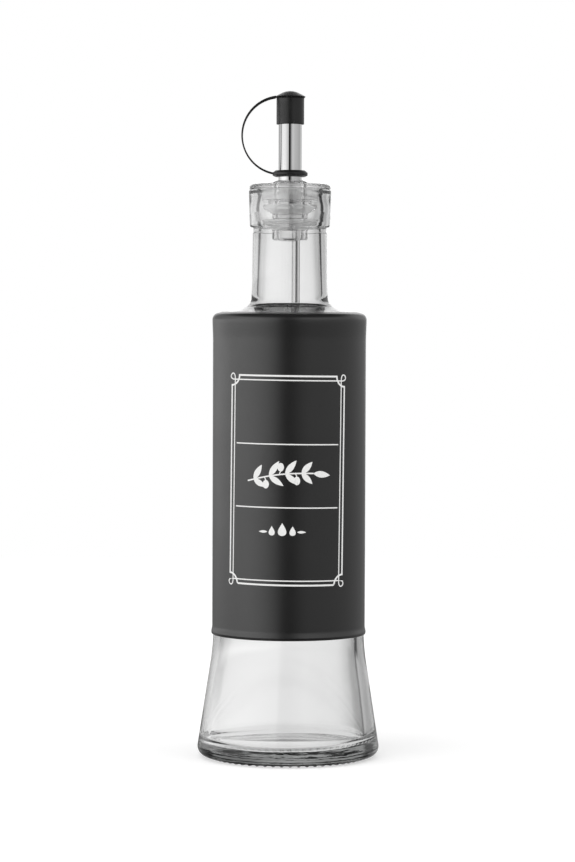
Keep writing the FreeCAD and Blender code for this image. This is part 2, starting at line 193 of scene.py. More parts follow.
def clear_material(name, tint, clear, roughness, ior, ripple, passed,
                   absorbed=None, density=0, base_height=0.0):
    """A body that lets a share of the light through. A ripple is (metres, waves per metre)."""
    material, tree, output = start_material(name)
    place = object_space(tree)
    height, scale = ripple
    skin = bump_from(tree, noise(tree, place, scale, detail=1.0), 1.0, height)
    if base_height:
        skin = bump_from(tree, base_swell(tree, place, base_height), 1.0, 1.0, over=skin)
    haze = spread(tree, noise(tree, place, HAZE_WAVES, detail=3), *roughness)
    body = add_node(tree, "ShaderNodeBsdfPrincipled",
                    {"Base Color": tint, "Roughness": haze, "IOR": ior,
                     "Transmission Weight": clear, "Normal": skin})
    through = add_node(tree, "ShaderNodeBsdfTransparent", {"Color": passed})
    path = add_node(tree, "ShaderNodeLightPath")
    mix = add_node(tree, "ShaderNodeMixShader",
                   {0: path.outputs["Is Shadow Ray"],
                    1: body.outputs[0], 2: through.outputs[0]})
    show(tree, mix, output)
    if density:
        volume = add_node(tree, "ShaderNodeVolumeAbsorption",
                          {"Color": absorbed, "Density": density})
        tree.links.new(volume.outputs[0], output.inputs["Volume"])
    return material


flint_glass = clear_material(
    "flint_glass", tint=grey(1.0), clear=1.0, roughness=(0.0, 0.003), ior=1.5,
    ripple=(0.00002, 55),
    absorbed=(0.35, 0.36, 0.355, 1), density=26, passed=grey(0.93), base_height=0.00012)
stopper_plastic = clear_material(
    "stopper_plastic", tint=grey(0.97), clear=0.95, roughness=(0.0, 0.02), ior=1.49,
    ripple=(0.00001, 300), passed=grey(0.85))
frosted_plastic = clear_material(
    "frosted_plastic", tint=grey(0.96), clear=0.62, roughness=(0.03, 0.08), ior=1.49,
    ripple=(0.00001, 300), passed=grey(0.8))
print("clear materials:", flint_glass.name, stopper_plastic.name, frosted_plastic.name)

# %% [markdown]
# ## Drawing a profile and spinning it
#
# A bottle is a turned shape. As by hand: one vertex is made from a small plane, extruded
# along the corners of half a section, its corners are rounded with a vertex bevel, and the
# line is spun round the Z axis. Points are (radius, height) in millimetres, and a corner
# may carry the radius of its round as a third number. Straight runs are subdivided, so that
# a wall can be pushed a little out of true later. Only the longest stay whole.

# %% Profile helpers
MM = 0.001  # metres
SEGMENTS = 192
EDIT_STEP = 3.0  # mm, the longest edge left in a straight run
MOST_STEPS = 12  # a run longer than this many steps stays whole
ARC_STEP = 6.0  # degrees that one segment of a round may turn
TOUCHING = 1e-7  # metres, within which two points count as one
SMOOTH_ANGLE = math.radians(35)  # edges sharper than this stay sharp


def deselect_all():
    if bpy.context.mode != "OBJECT":
        bpy.ops.object.mode_set(mode="OBJECT")
    bpy.ops.object.select_all(action="DESELECT")


def select_where(test, kind="verts"):
    """In edit mode, selects only the vertices, edges or faces that pass a test."""
    mesh = bmesh.from_edit_mesh(bpy.context.object.data)
    for part in (*mesh.verts, *mesh.edges, *mesh.faces):
        part.select_set(False)
    chosen = [part for part in getattr(mesh, kind) if test(part)]
    for part in chosen:
        part.select_set(True)
    mesh.select_flush(True)
    bmesh.update_edit_mesh(bpy.context.object.data)
    return len(chosen)


def start_line(name, point):
    """Starts a new object as one vertex and stays in edit mode."""
    deselect_all()
    bpy.ops.mesh.primitive_plane_add(size=MM, location=point)
    bpy.context.object.name = name
    bpy.context.object.data.name = name
    bpy.ops.object.transform_apply(location=True)
    bpy.ops.object.mode_set(mode="EDIT")
    bpy.ops.mesh.merge(type="CENTER")
    return bpy.context.object


def extrude_by(move):
    bpy.ops.mesh.extrude_region_move(TRANSFORM_OT_translate={"value": move})


def select_at(*places):
    """Selects the vertices that lie at these places."""
    select_where(lambda v: any((v.co - place).length < TOUCHING for place in places))


def draw_line(name, places, closed):
    """Draws edges from place to place, joins the ends if asked, and stays in edit mode."""
    piece = start_line(name, places[0])
    for start, end in zip(places, places[1:]):
        extrude_by(end - start)
    if closed:
        select_at(places[0], places[-1])
        bpy.ops.mesh.edge_face_add()
    return piece


def in_section(point):
    """Where a (radius or across, height) point in mm lies in the XZ plane, in metres."""
    return Vector((point[0] * MM, 0, point[1] * MM))


def round_corner(before, corner, after, radius):
    """Bevels the vertex at a corner into an arc with one segment for every few degrees."""
    arriving = (corner - before).normalized()
    leaving = (after - corner).normalized()
    bend = arriving.angle(leaving)
    tangent = radius * MM * math.tan(bend / 2)
    select_at(corner)
    bpy.ops.mesh.bevel(offset=tangent, offset_type="ABSOLUTE", affect="VERTICES", profile=0.5,
                       segments=max(2, math.ceil(math.degrees(bend) / ARC_STEP)),
                       clamp_overlap=False)


def draw_section(name, corners, closed):
    """Draws half a section as a line of edges, with its rounds."""
    places = [in_section(corner) for corner in corners]
    piece = draw_line(name, places, closed)
    for index, corner in enumerate(corners):
        if len(corner) > 2:
            after = places[(index + 1) % len(places)]
            round_corner(places[index - 1], places[index], after, corner[2])
    for steps in range(2, MOST_STEPS + 1):
        longest = steps * EDIT_STEP * MM
        shortest = longest - EDIT_STEP * MM
        if select_where(lambda e: shortest < e.calc_length() <= longest, "edges"):
            bpy.ops.mesh.subdivide(number_cuts=steps - 1)
    return piece


def spin_section(segments=SEGMENTS):
    """Spins the drawn line into a closed skin with outward normals, and leaves edit mode."""
    bpy.ops.mesh.select_all(action="SELECT")
    bpy.ops.mesh.spin(steps=segments, angle=math.tau, center=(0, 0, 0), axis=(0, 0, 1))
    bpy.ops.mesh.select_all(action="SELECT")
    bpy.ops.mesh.remove_doubles(threshold=TOUCHING)
    bpy.ops.mesh.normals_make_consistent(inside=False)
    bpy.ops.object.mode_set(mode="OBJECT")
    bpy.ops.object.shade_smooth_by_angle(angle=SMOOTH_ANGLE)
    print(bpy.context.object.name, "spun in", segments, "steps")


def dress(piece, material, node=None):
    """Gives a piece its material and its body, and hides the CAD node that it stands for."""
    piece.data.materials.clear()
    piece.data.materials.append(material)
    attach(piece, "root")
    if node:
        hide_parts(node)
    size = [round(d * 1000, 2) for d in piece.dimensions]
    print(piece.name, "size", size, "mm,", len(piece.data.polygons), "faces")


def add_second_material(piece, material, test):
    """Gives the faces that pass a test a second material, and returns how many they are."""
    piece.data.materials.append(material)
    bpy.ops.object.mode_set(mode="EDIT")
    chosen = select_where(test, "faces")
    piece.active_material_index = 1
    bpy.ops.object.material_slot_assign()
    bpy.ops.object.mode_set(mode="OBJECT")
    return chosen


def top_of(node):
    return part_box(node)[1].z / MM


def bottom_of(node):
    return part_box(node)[0].z / MM


# %% [markdown]
# ## The glass bottle
#
# One skin holds the outside and the inside, so the glass has its real thickness: a flared
# foot with a heavy base, a straight body, a sloping shoulder, a neck with a slight waist,
# and a thick finish whose bore swells in the middle, where the stopper's fins sit. The
# outline runs from under the base up the outside, over the mouth and down the inside.

# %% Bottle section
RIDGE_HEIGHT = 0.5
MOUTH = top_of("bottle")
BEARING = bottom_of("bottle") + RIDGE_HEIGHT  # the base itself, without its ridges
FLOOR = BEARING + 4.3  # the cavity's floor
FLARE = BEARING + 39.8  # the top of the foot's flare
SHOULDER = FLARE + 118.7
NECK_ROOT = 162.48
FINISH = MOUTH - 13.5  # the lower edge of the thick finish
PUSH_UP = 1.6
FOOT_RADIUS = 33.25
BODY_RADIUS = 27.1
CAVITY_RADIUS = 24.1
RING_RADII = (24.6, 29.0)  # the ring that carries the ridges

bottle_section = [
    (0, BEARING + PUSH_UP),
    (12, BEARING + 0.75 * PUSH_UP, 60),
    (24, BEARING, 1.0),
    (RING_RADII[0], BEARING),
    (RING_RADII[1], BEARING),
    (FOOT_RADIUS, BEARING, 3.4),
    (BODY_RADIUS, FLARE, 60),
    (BODY_RADIUS, SHOULDER, 1.9),
    (13.95, NECK_ROOT, 3.6),
    (13.45, NECK_ROOT + 9, 60),
    (13.36, FINISH - 2.2, 0.3),
    (13.11, FINISH - 1.95, 0.4),
    (13.11, FINISH - 0.3, 0.25),
    (14.4, FINISH, 0.9),
    (14.85, MOUTH, 0.9),
    (10.3, MOUTH, 0.6),
    (11.4, MOUTH - 6.8, 14),
    (10.4, MOUTH - 12.2, 14),
    (11.6, 160.6, 9.0),
    (CAVITY_RADIUS, 156.7, 3.0),
    (CAVITY_RADIUS, FLARE, 60),
    (30.0, FLOOR, 4.0),
    (0, FLOOR),
]
print("bottle section:", len(bottle_section), "corners, mouth at", round(MOUTH, 2), "mm")

# %% [markdown]
# The ridges that the bottle stands on are pressed with the base, so they grow out of the
# same skin. With four columns of faces to a ridge, every other pair of columns on the
# bearing ring is inset and pushed down, which leaves short wedges with gaps between them.

# %% Spin the bottle and press its ridges
RIDGES = 60
RIDGE_COLUMNS = 4  # columns of faces to each ridge and its gap
RIDGE_EASE = 0.42  # mm, how far a ridge's foot stands out from its top
LEVEL_SLACK = 0.02  # mm, within which two heights count as one


def on_ridge(face):
    """True for the bearing ring's faces in the first half of each ridge's columns."""
    middle = face.calc_center_median()
    share = (math.atan2(middle.y, middle.x) % math.tau) / math.tau
    column = int(share * RIDGES * RIDGE_COLUMNS)
    on_ring = RING_RADII[0] < middle.xy.length / MM < RING_RADII[1]
    level = abs(middle.z / MM - BEARING) < LEVEL_SLACK
    return level and on_ring and column % RIDGE_COLUMNS < RIDGE_COLUMNS / 2


bottle = draw_section("bottle_glass", bottle_section, closed=False)
spin_section(RIDGES * RIDGE_COLUMNS)
deselect_all()
bottle.select_set(True)
bpy.context.view_layer.objects.active = bottle
bpy.ops.object.mode_set(mode="EDIT")
pressed = select_where(on_ridge, "faces")
bpy.ops.mesh.inset(thickness=RIDGE_EASE * MM, depth=RIDGE_HEIGHT * MM, use_boundary=True)
bpy.ops.object.mode_set(mode="OBJECT")
bpy.ops.object.shade_smooth_by_angle(angle=SMOOTH_ANGLE)
lowest = min(v.co.z for v in bottle.data.vertices) / MM
print("ridge faces", pressed, "lowest", round(lowest, 3))

# %% [markdown]
# Blown glass is never even: the cavity sits a little off centre in the foot, which makes one
# wall thin and the other thick. Only the inner skin of the foot is picked, and it is pushed
# sideways ring by ring, nothing at the top and most at the floor.

# %% Push the cavity off centre
CAVITY_DRIFT = 1.5  # mm towards -X at the cavity's floor
DRIFT_STEPS = 14
DRIFT_TOP = FLARE + 8
THINNEST_WALL = 1.5  # mm, less than the wall has anywhere


def inner_foot(below):
    """A test for the cavity's skin below a height: all that lies well inside the outer wall."""
    slope = (FOOT_RADIUS - BODY_RADIUS) / (FLARE - BEARING)

    def test(vert):
        reach, height = vert.co.xy.length / MM, vert.co.z / MM
        wall = max(FOOT_RADIUS - (height - BEARING) * slope, BODY_RADIUS)
        return FLOOR - LEVEL_SLACK < height < below and reach < wall - THINNEST_WALL
    return test


bpy.ops.object.mode_set(mode="EDIT")
for step in range(DRIFT_STEPS):
    top = FLOOR + (DRIFT_TOP - FLOOR) * (1 - step / DRIFT_STEPS)
    select_where(inner_foot(top))
    bpy.ops.transform.translate(value=(-CAVITY_DRIFT * MM / DRIFT_STEPS, 0, 0))
bpy.ops.object.mode_set(mode="OBJECT")
dress(bottle, flint_glass, "bottle")

# %% [markdown]
# ## The painted sleeve
#
# A tube of thin sheet metal is pushed over the bottle's body. Its top edge is turned in over
# the shoulder and its lower edge flares out a hair where it was cut. The paint is a black
# powder coat that is neither matt nor glossy: nearly no colour of its own, a broad and fairly
# strong sheen, which a high index and specular level give, and a fine orange peel that breaks
# the sheen up. The peel is a bump. A slower noise lets shade and roughness wander a little.

# %% Black paint
black_paint, tree, output = start_material("black_paint")
place = object_space(tree)
peel = noise(tree, place, 1500)
cloud = noise(tree, place, 55, detail=4)
coat = add_node(tree, "ShaderNodeBsdfPrincipled",
                {"Base Color": shade_between(tree, cloud, grey(0.007), grey(0.010)),
                 "Roughness": spread(tree, cloud, 0.30, 0.34),
                 "IOR": 1.6, "Specular IOR Level": 0.8,
                 "Normal": bump_from(tree, peel, 0.35, 0.00004)})
show(tree, coat, output)

# %% [markdown]
# The inside of the sleeve isn't painted. Its bare metal shows through the glass, and it
# carries light from the foot and the neck into the dark middle of the bottle.

# %% Bare metal
bare_metal, tree, output = start_material("bare_metal")
marks = noise(tree, object_space(tree, stretch=(1, 1, 0.05)), 900, detail=3)
shine = add_node(tree, "ShaderNodeBsdfPrincipled",
                 {"Base Color": grey(0.80), "Metallic": 1.0,
                  "Roughness": spread(tree, marks, 0.15, 0.30)})
show(tree, shine, output)

# %% Sleeve
SLEEVE_TOP = top_of("sleeve")
SLEEVE_BASE = bottom_of("sleeve")

sleeve_section = [
    (27.3, SLEEVE_BASE, 0.04),
    (27.75, SLEEVE_BASE, 0.4),
    (27.85, SLEEVE_BASE + 1.0, 0.5),
    (27.5, SLEEVE_BASE + 2.6, 5),
    (27.5, 151.0, 60),
    (27.7, 156.5, 20),
    (27.7, 159.25, 2.3),
    (24.0, SLEEVE_TOP, 0.15),
    (24.0, SLEEVE_TOP - 0.362, 0.15),
    (27.15, 159.038, 1.95),
    (27.15, SLEEVE_BASE + 2.5, 6),
]
sleeve = draw_section("painted_sleeve", sleeve_section, closed=True)
spin_section()
dress(sleeve, black_paint, "sleeve")

# %% Bare the inside
BARE_TOP = SLEEVE_TOP - 0.3  # mm, the faces above it belong to the turned-in edge
BARE_REACH = 27.3  # mm, and those further out to its lip


def is_inside(face):
    """True for the faces of the sleeve's inner skin, below its turned-in edge."""
    middle = face.calc_center_median()
    outward = middle.x * face.normal.x + middle.y * face.normal.y
    return outward < 0 and middle.z / MM < BARE_TOP and middle.xy.length / MM < BARE_REACH


bare = add_second_material(sleeve, bare_metal, is_inside)
print("bare faces inside the sleeve:", bare)

# %% [markdown]
# ## The printed panel
#
# The front of the sleeve carries a screen print: a frame of two lines whose corners curl
# into small loops, two rules, and ornament between them. A print is a film of ink, so it is
# modelled as one. Every line is drawn flat as a path, raised into a thin wall and thickened
# to the width of the line. Leaves and drops are outlines that are filled and raised. The flat
# print is then cut into narrow strips and bent round the sleeve.

# %% Ink
white_ink, tree, output = start_material("white_ink")
mottle = noise(tree, object_space(tree), 900, detail=3)
ink = add_node(tree, "ShaderNodeBsdfPrincipled",
               {"Base Color": shade_between(tree, mottle, (0.80, 0.80, 0.79, 1),
                                            (0.90, 0.90, 0.89, 1)),
                "Roughness": spread(tree, mottle, 0.40, 0.55),
                "Normal": bump_from(tree, mottle, 0.3, 0.00001)})
show(tree, ink, output)

# %% Print helpers
FILM = 0.04  # mm, the thickness of the ink
PRINT_RADIUS = 27.49  # mm, the film's underside, a hair inside the paint


def draw_path(name, points, closed):
    """Draws a flat path through (across, height) points in mm and leaves it selected."""
    piece = draw_line(name, [in_section(point) for point in points], closed)
    bpy.ops.mesh.select_all(action="SELECT")
    return piece


def raise_film():
    extrude_by((0, -FILM * MM, 0))
    bpy.ops.object.mode_set(mode="OBJECT")


def ink_line(name, points, width, closed=False):
    """A printed line of a given width in mm."""
    piece = draw_path(name, points, closed)
    raise_film()
    thick = piece.modifiers.new("width", "SOLIDIFY")
    thick.thickness = width * MM
    thick.offset = 0
    thick.use_even_offset = True
    bpy.ops.object.modifier_apply(modifier=thick.name)
    return piece


def ink_patch(name, points):
    """A printed shape that is filled inside its outline."""
    piece = draw_path(name, points, True)
    bpy.ops.mesh.edge_face_add()
    raise_film()
    return piece


def turned(point, base, degrees):
    """Turns a point drawn from the origin and moves it to its base."""
    c, s = math.cos(math.radians(degrees)), math.sin(math.radians(degrees))
    return (base[0] + point[0] * c - point[1] * s, base[1] + point[0] * s + point[1] * c)


# %% Frame lines
FRAME_HALF = 22.08  # mm, half the frame's width
FRAME_LOW, FRAME_HIGH = 64.1, 137.7
NOTCH = 3.6  # the radius of the quarter circle that is cut from each corner
INSET = 1.6  # from the outer line to the inner one
LOOP = 4.9  # how far the handles of a corner's curl reach
RULES = (91.4, 113.7)  # the heights of the two rules
RULE_GAP = 1.0  # between a rule's end and the inner line
BROAD_LINE, FINE_LINE = 0.62, 0.42


def notch_arc(corner, start, end, steps=10):
    """A quarter circle round a corner, from one bearing to another in degrees."""
    return [turned((NOTCH, 0), corner, start + (end - start) * step / steps)
            for step in range(steps + 1)]


def curl(corner, leave, arrive, steps=14):
    """A loop that leaves a corner one way and comes back to it from another."""
    points = []
    for step in range(1, steps):
        t = step / steps
        out, back = 3 * (1 - t) ** 2 * t * LOOP, 3 * (1 - t) * t ** 2 * LOOP
        points.append((corner[0] + leave[0] * out + arrive[0] * back,
                       corner[1] + leave[1] * out + arrive[1] * back))
    return points


half, low, high = FRAME_HALF, FRAME_LOW, FRAME_HIGH
outer_line = (notch_arc((half, low), 180, 90) + notch_arc((half, high), 270, 180)
              + notch_arc((-half, high), 0, -90) + notch_arc((-half, low), 90, 0))
half, low, high = half - INSET, low + INSET, high - INSET
inner_line = (curl((half, low), (1, 0), (0, -1)) + curl((half, high), (0, 1), (1, 0))
              + curl((-half, high), (-1, 0), (0, 1)) + curl((-half, low), (0, -1), (-1, 0)))
prints = [ink_line("frame_outer", outer_line, BROAD_LINE, closed=True),
          ink_line("frame_inner", inner_line, FINE_LINE, closed=True)]
for height in RULES:
    ends = [(RULE_GAP - half, height), (half - RULE_GAP, height)]
    prints.append(ink_line("rule", ends, FINE_LINE))
print("frame of", len(outer_line), "and", len(inner_line), "points")

# %% Leaf and drop outlines
LEAF_SHARES = (0.04, 0.12, 0.24, 0.38, 0.52, 0.66, 0.8, 0.91)  # of a leaf's length


def leaf(base, degrees, length, width):
    """A lance-shaped leaf that starts at its base."""
    side = [(length * t, width / 2 * math.sin(math.pi * t ** 0.85) ** 0.9)
            for t in LEAF_SHARES]
    outline = [(0, 0), *side, (length, 0), *[(a, -b) for a, b in reversed(side)]]
    return [turned(point, base, degrees) for point in outline]


def drop(centre, width, height, sharp=1.5, steps=24):
    """A drop with its point up, or an olive where sharp is 0."""
    angles = [math.tau * step / steps for step in range(steps)]
    widest = max(math.sin(a) * math.sin(a / 2) ** sharp for a in angles)
    return [(centre[0] + width / 2 / widest * math.sin(a) * math.sin(a / 2) ** sharp,
             centre[1] + height / 2 * math.cos(a)) for a in angles]


# %% Olive sprig
SPRIG_START = -14.3  # mm across, where the stem begins
SPRIG_RUN = 24.0
SPRIG_BASE = 100.6  # mm, the stem's height at its start
SPRIG_RISE = 3.0
SPRIG_BOW = 1.0
STEM_STEPS = 16
STEM_WIDTH, STALK_WIDTH = 0.5, 0.35
LEAF_PAIRS = (  # (share of the stem, length of the upper leaf, length of the lower leaf)
    (0.1, 6.0, 5.2), (0.34, 6.4, 6.2), (0.58, 6.2, 6.0), (0.82, 5.6, 5.4))
LEAF_ANGLES = (46, -44)  # degrees from the stem, of the upper and the lower leaf
LEAF_WIDTHS = (2.2, 2.1)
END_LEAF = (-6, 6.4, 2.3)  # degrees from the stem, length, width
OLIVES = ((0.27, -1), (0.49, 1), (0.73, -1))  # (share of the stem, -1 below it or 1 above)
OLIVE_SIZE = (2.3, 3.0)
STALK = (0.5, 1.3)  # mm, how far a stalk reaches along the stem and away from it


def stem_point(t):
    bow = SPRIG_BOW * math.sin(math.pi * t)
    return (SPRIG_START + SPRIG_RUN * t, SPRIG_BASE + SPRIG_RISE * t + bow)


def stem_bearing(t):
    (a, b), (c, d) = stem_point(t - 0.01), stem_point(t + 0.01)
    return math.degrees(math.atan2(d - b, c - a))


stem = [stem_point(step / STEM_STEPS) for step in range(STEM_STEPS + 1)]
prints.append(ink_line("stem", stem, STEM_WIDTH))
for t, *lengths in LEAF_PAIRS:
    for length, angle, width in zip(lengths, LEAF_ANGLES, LEAF_WIDTHS):
        outline = leaf(stem_point(t), stem_bearing(t) + angle, length, width)
        prints.append(ink_patch("leaf", outline))
angle, length, width = END_LEAF
prints.append(ink_patch("leaf", leaf(stem_point(1), stem_bearing(1) + angle, length, width)))
for t, side in OLIVES:
    foot = stem_point(t)
    tip = (foot[0] + STALK[0], foot[1] + STALK[1] * side)
    middle = (tip[0], tip[1] + STALK[1] * side)
    prints.append(ink_line("stalk", [foot, tip], STALK_WIDTH))
    prints.append(ink_patch("olive", drop(middle, *OLIVE_SIZE, sharp=0)))
print("shapes in the frame and the sprig:", len(prints))

# %% Row of oil drops
DROP_ROW = (-1.2, 83.8)  # mm, the middle drop's place
MIDDLE_DROP_SIZE, SIDE_DROP_SIZE = (3.0, 4.6), (2.2, 3.4)
SIDE_DROP = (3.7, -0.5)  # mm from the middle drop
DASH = (5.3, -0.9)
DASH_SIZE = (3.2, 0.9)

across, height = DROP_ROW
prints.append(ink_patch("drop", drop(DROP_ROW, *MIDDLE_DROP_SIZE)))
for side in (-1, 1):
    beside = (across + SIDE_DROP[0] * side, height + SIDE_DROP[1])
    prints.append(ink_patch("drop", drop(beside, *SIDE_DROP_SIZE)))
    end = (across + DASH[0] * side, height + DASH[1])
    prints.append(ink_patch("dash", leaf(end, 90 - 90 * side, *DASH_SIZE)))
print("printed shapes:", len(prints))

# %% Bend the print round the sleeve
PRINT_TURN = math.radians(-2.0)  # how far the panel sits round the sleeve from the front
PRINT_TILT = math.radians(-0.7)
STRIP_REACH = 24  # mm, the strips are 1 mm wide and reach this far to each side

deselect_all()
for piece in prints:
    piece.select_set(True)
label = prints[0]
bpy.context.view_layer.objects.active = label
bpy.ops.object.join()
label.name = label.data.name = "printed_panel"
bpy.ops.object.mode_set(mode="EDIT")
bpy.ops.mesh.select_all(action="SELECT")
bpy.ops.transform.rotate(value=PRINT_TILT, orient_axis="Y",
                         center_override=(0, 0, (FRAME_LOW + FRAME_HIGH) / 2 * MM))
for cut in range(-STRIP_REACH, STRIP_REACH + 1):
    bpy.ops.mesh.select_all(action="SELECT")
    bpy.ops.mesh.bisect(plane_co=(cut * MM, 0, 0), plane_no=(1, 0, 0))
bpy.ops.mesh.select_all(action="SELECT")
bpy.ops.mesh.normals_make_consistent(inside=False)
bpy.ops.object.mode_set(mode="OBJECT")
spans = [v.co.x for v in label.data.vertices]
bend = label.modifiers.new("bend", "SIMPLE_DEFORM")
bend.deform_method = "BEND"
bend.deform_axis = "Z"
bend.angle = (max(spans) - min(spans)) / (PRINT_RADIUS * MM)
bpy.ops.object.modifier_apply(modifier=bend.name)
bpy.ops.object.mode_set(mode="EDIT")
bpy.ops.mesh.select_all(action="SELECT")
bpy.ops.transform.translate(value=(0, -PRINT_RADIUS * MM, 0))
bpy.ops.transform.rotate(value=-PRINT_TURN, orient_axis="Z", center_override=(0, 0, 0))
bpy.ops.object.mode_set(mode="OBJECT")
bpy.ops.object.shade_smooth_by_angle(angle=SMOOTH_ANGLE)
reaches = [v.co.xy.length / MM for v in label.data.vertices]
print("film between", round(min(reaches), 3), "and", round(max(reaches), 3), "mm, middle at",
      round(sum(v.co.x for v in label.data.vertices) / len(reaches) / MM, 2))
dress(label, white_ink)

# %% [markdown]
# ## The stopper
#
# The stopper is moulded from clear plastic: a low sloping flange that lies on the mouth, a
# plug, and two soft fins that grip the bore. A socket holds the steel spout and a narrower
# passage below it lets the air tube through. The outside of the plug is frosted, and the
# grooves beside its fins, its nose and the flange are clear.

# %% Stopper
STOPPER_TOP = top_of("stopper")
SEAT = STOPPER_TOP - 3.1
STOPPER_BASE = bottom_of("stopper")
TUBE_BASE = bottom_of("spout_tube")

stopper_section = [
    (4.23, STOPPER_TOP, 0.1),
    (5.6, STOPPER_TOP, 0.3),
    (14.6, SEAT + 1.5, 1.3),
    (14.6, SEAT, 0.15),
    (10.25, SEAT, 0.15),
    (10.25, SEAT - 3.9, 0.25),
    (7.8, SEAT - 3.9, 0.3),
    (7.8, SEAT - 5.5, 0.3),
    (9.75, SEAT - 5.5, 0.15),
    (9.75, SEAT - 7.1, 1.8),
    (6.4, SEAT - 9.6, 0.3),
    (6.4, SEAT - 11.1, 0.2),
    (10.1, SEAT - 11.1, 0.12),
    (10.1, SEAT - 11.8, 0.12),
    (9.65, SEAT - 11.8, 0.1),
    (9.65, SEAT - 12.5, 0.3),
    (6.4, SEAT - 14.7, 0.3),
    (6.4, STOPPER_BASE, 1.0),
    (3.8, STOPPER_BASE, 0.2),
    (3.8, TUBE_BASE, 0.1),
    (4.23, TUBE_BASE, 0.1),
]
stopper = draw_section("pouring_stopper", stopper_section, closed=True)
spin_section()
dress(stopper, stopper_plastic, "stopper")

# %% Frost the plug
FROSTED = (1.0, 14.8)  # mm below the seat
GROOVES = ((3.85, 5.55), (9.5, 11.15))
GROOVE_REACH = 8.0
SOCKET_REACH = 4.4


def is_frosted(face):
    """True for the plug's outer skin, but not for the grooves beside its fins or its nose."""
    middle = face.calc_center_median()
    reach, down = middle.xy.length / MM, SEAT - middle.z / MM
    in_groove = reach < GROOVE_REACH and any(high < down < low for high, low in GROOVES)
    return reach > SOCKET_REACH and FROSTED[0] < down < FROSTED[1] and not in_groove


frosted = add_second_material(stopper, frosted_plastic, is_frosted)
print("frosted faces below the flange:", frosted)

# %% [markdown]
# ## The steel tubes
#
# Both tubes are drawn stainless steel: a wide spout, and a thin one that lets air in while
# the oil runs out. Drawing leaves faint lines along the tube, so the roughness and a very
# low bump use noise that is stretched lengthwise.

# %% Drawn steel
drawn_steel, tree, output = start_material("drawn_steel")
lines = noise(tree, object_space(tree, stretch=(1, 1, 0.02)), 2500, detail=3)
steel = add_node(tree, "ShaderNodeBsdfPrincipled",
                 {"Base Color": grey(0.70), "Metallic": 1.0,
                  "Roughness": spread(tree, lines, 0.05, 0.09),
                  "Normal": bump_from(tree, lines, 0.15, 0.00001)})
show(tree, steel, output)

# %% Tubes
TUBE_SEGMENTS = 96
EASED_SHARE = 0.4  # of a tube's wall, the radius of each edge at its ends


def make_tube(name, node, outer, inner):
    """A straight tube as tall as its CAD node, spun round Z, with its ends eased."""
    low, high = bottom_of(node), top_of(node)
    ease = (outer - inner) * EASED_SHARE
    tube = draw_section(name, [(inner, low, ease), (outer, low, ease),
                               (outer, high, ease), (inner, high, ease)], closed=True)
    spin_section(TUBE_SEGMENTS)
    return tube


spout = make_tube("steel_spout", "spout_tube", 4.2, 3.8)
dress(spout, drawn_steel, "spout_tube")

vent = make_tube("air_tube", "vent_tube", 1.45, 1.1)
vent_low, vent_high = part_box("vent_tube")
bpy.ops.object.mode_set(mode="EDIT")
bpy.ops.mesh.select_all(action="SELECT")
bpy.ops.transform.translate(value=((vent_low.x + vent_high.x) / 2, 0, 0))
bpy.ops.object.mode_set(mode="OBJECT")
dress(vent, drawn_steel, "vent_tube")

# %% [markdown]
# ## The rubber dust cap
#
# Cap, strap and ring are moulded in one piece. The cap is a cup with a small brim under its
# dome. The strap is a flat ribbon bent into a loop, thinnest in its middle, and the ring
# below slips over the spout. Cap and ring are spun, the strap's section is spun along its
# arc, and a union makes them one skin.

# %% Rubber
black_rubber, tree, output = start_material("black_rubber")
place = object_space(tree)
grain = noise(tree, place, 2600, detail=3)
patch = noise(tree, place, 300, detail=3)
rubber = add_node(tree, "ShaderNodeBsdfPrincipled",
                  {"Base Color": shade_between(tree, patch, grey(0.006), grey(0.010)),
                   "Roughness": spread(tree, patch, 0.30, 0.40), "Specular IOR Level": 0.6,
                   "Normal": bump_from(tree, grain, 0.3, 0.00003)})
show(tree, rubber, output)

# %% Cap and ring
CAP_TOP = top_of("dust_cap")
BRIM = CAP_TOP - 2.6
CAP_BASE = BRIM - 9.3
RING = STOPPER_TOP + 1.3

cap_section = [
    (0, CAP_TOP),
    (1.7, CAP_TOP, 6),
    (5.52, BRIM + 0.6, 0.15),
    (4.97, BRIM, 0.3),
    (4.97, CAP_BASE, 0.15),
    (4.25, CAP_BASE, 0.1),
    (4.25, BRIM, 0.1),
    (0, BRIM),
]
ring_section = [
    (4.25, RING, 0.15),
    (5.3, RING, 0.4),
    (6.3, RING + 0.5, 0.35),
    (6.3, RING + 1.5, 0.35),
    (5.3, RING + 2.3, 0.4),
    (4.25, RING + 2.3, 0.15),
]
dust_cap = draw_section("rubber_dust_cap", cap_section, closed=False)
spin_section()
ring = draw_section("cap_ring", ring_section, closed=True)
spin_section()

# %% Strap
STRAP_WIDTH = 2.4
STRAP_STEPS = 72
OUTER_ARC = (-3.281, 223.483, 14.269)  # mm: centre x, centre z, radius
INNER_ARC = (-3.556, 223.358, 13.394)
STRAP_START = -5.1  # mm, the x where the arc begins and ends, inside the brim and the ring


def arc_point(arc, angle):
    x, z, radius = arc
    return Vector(((x + radius * math.cos(angle)) * MM, 0, (z + radius * math.sin(angle)) * MM))


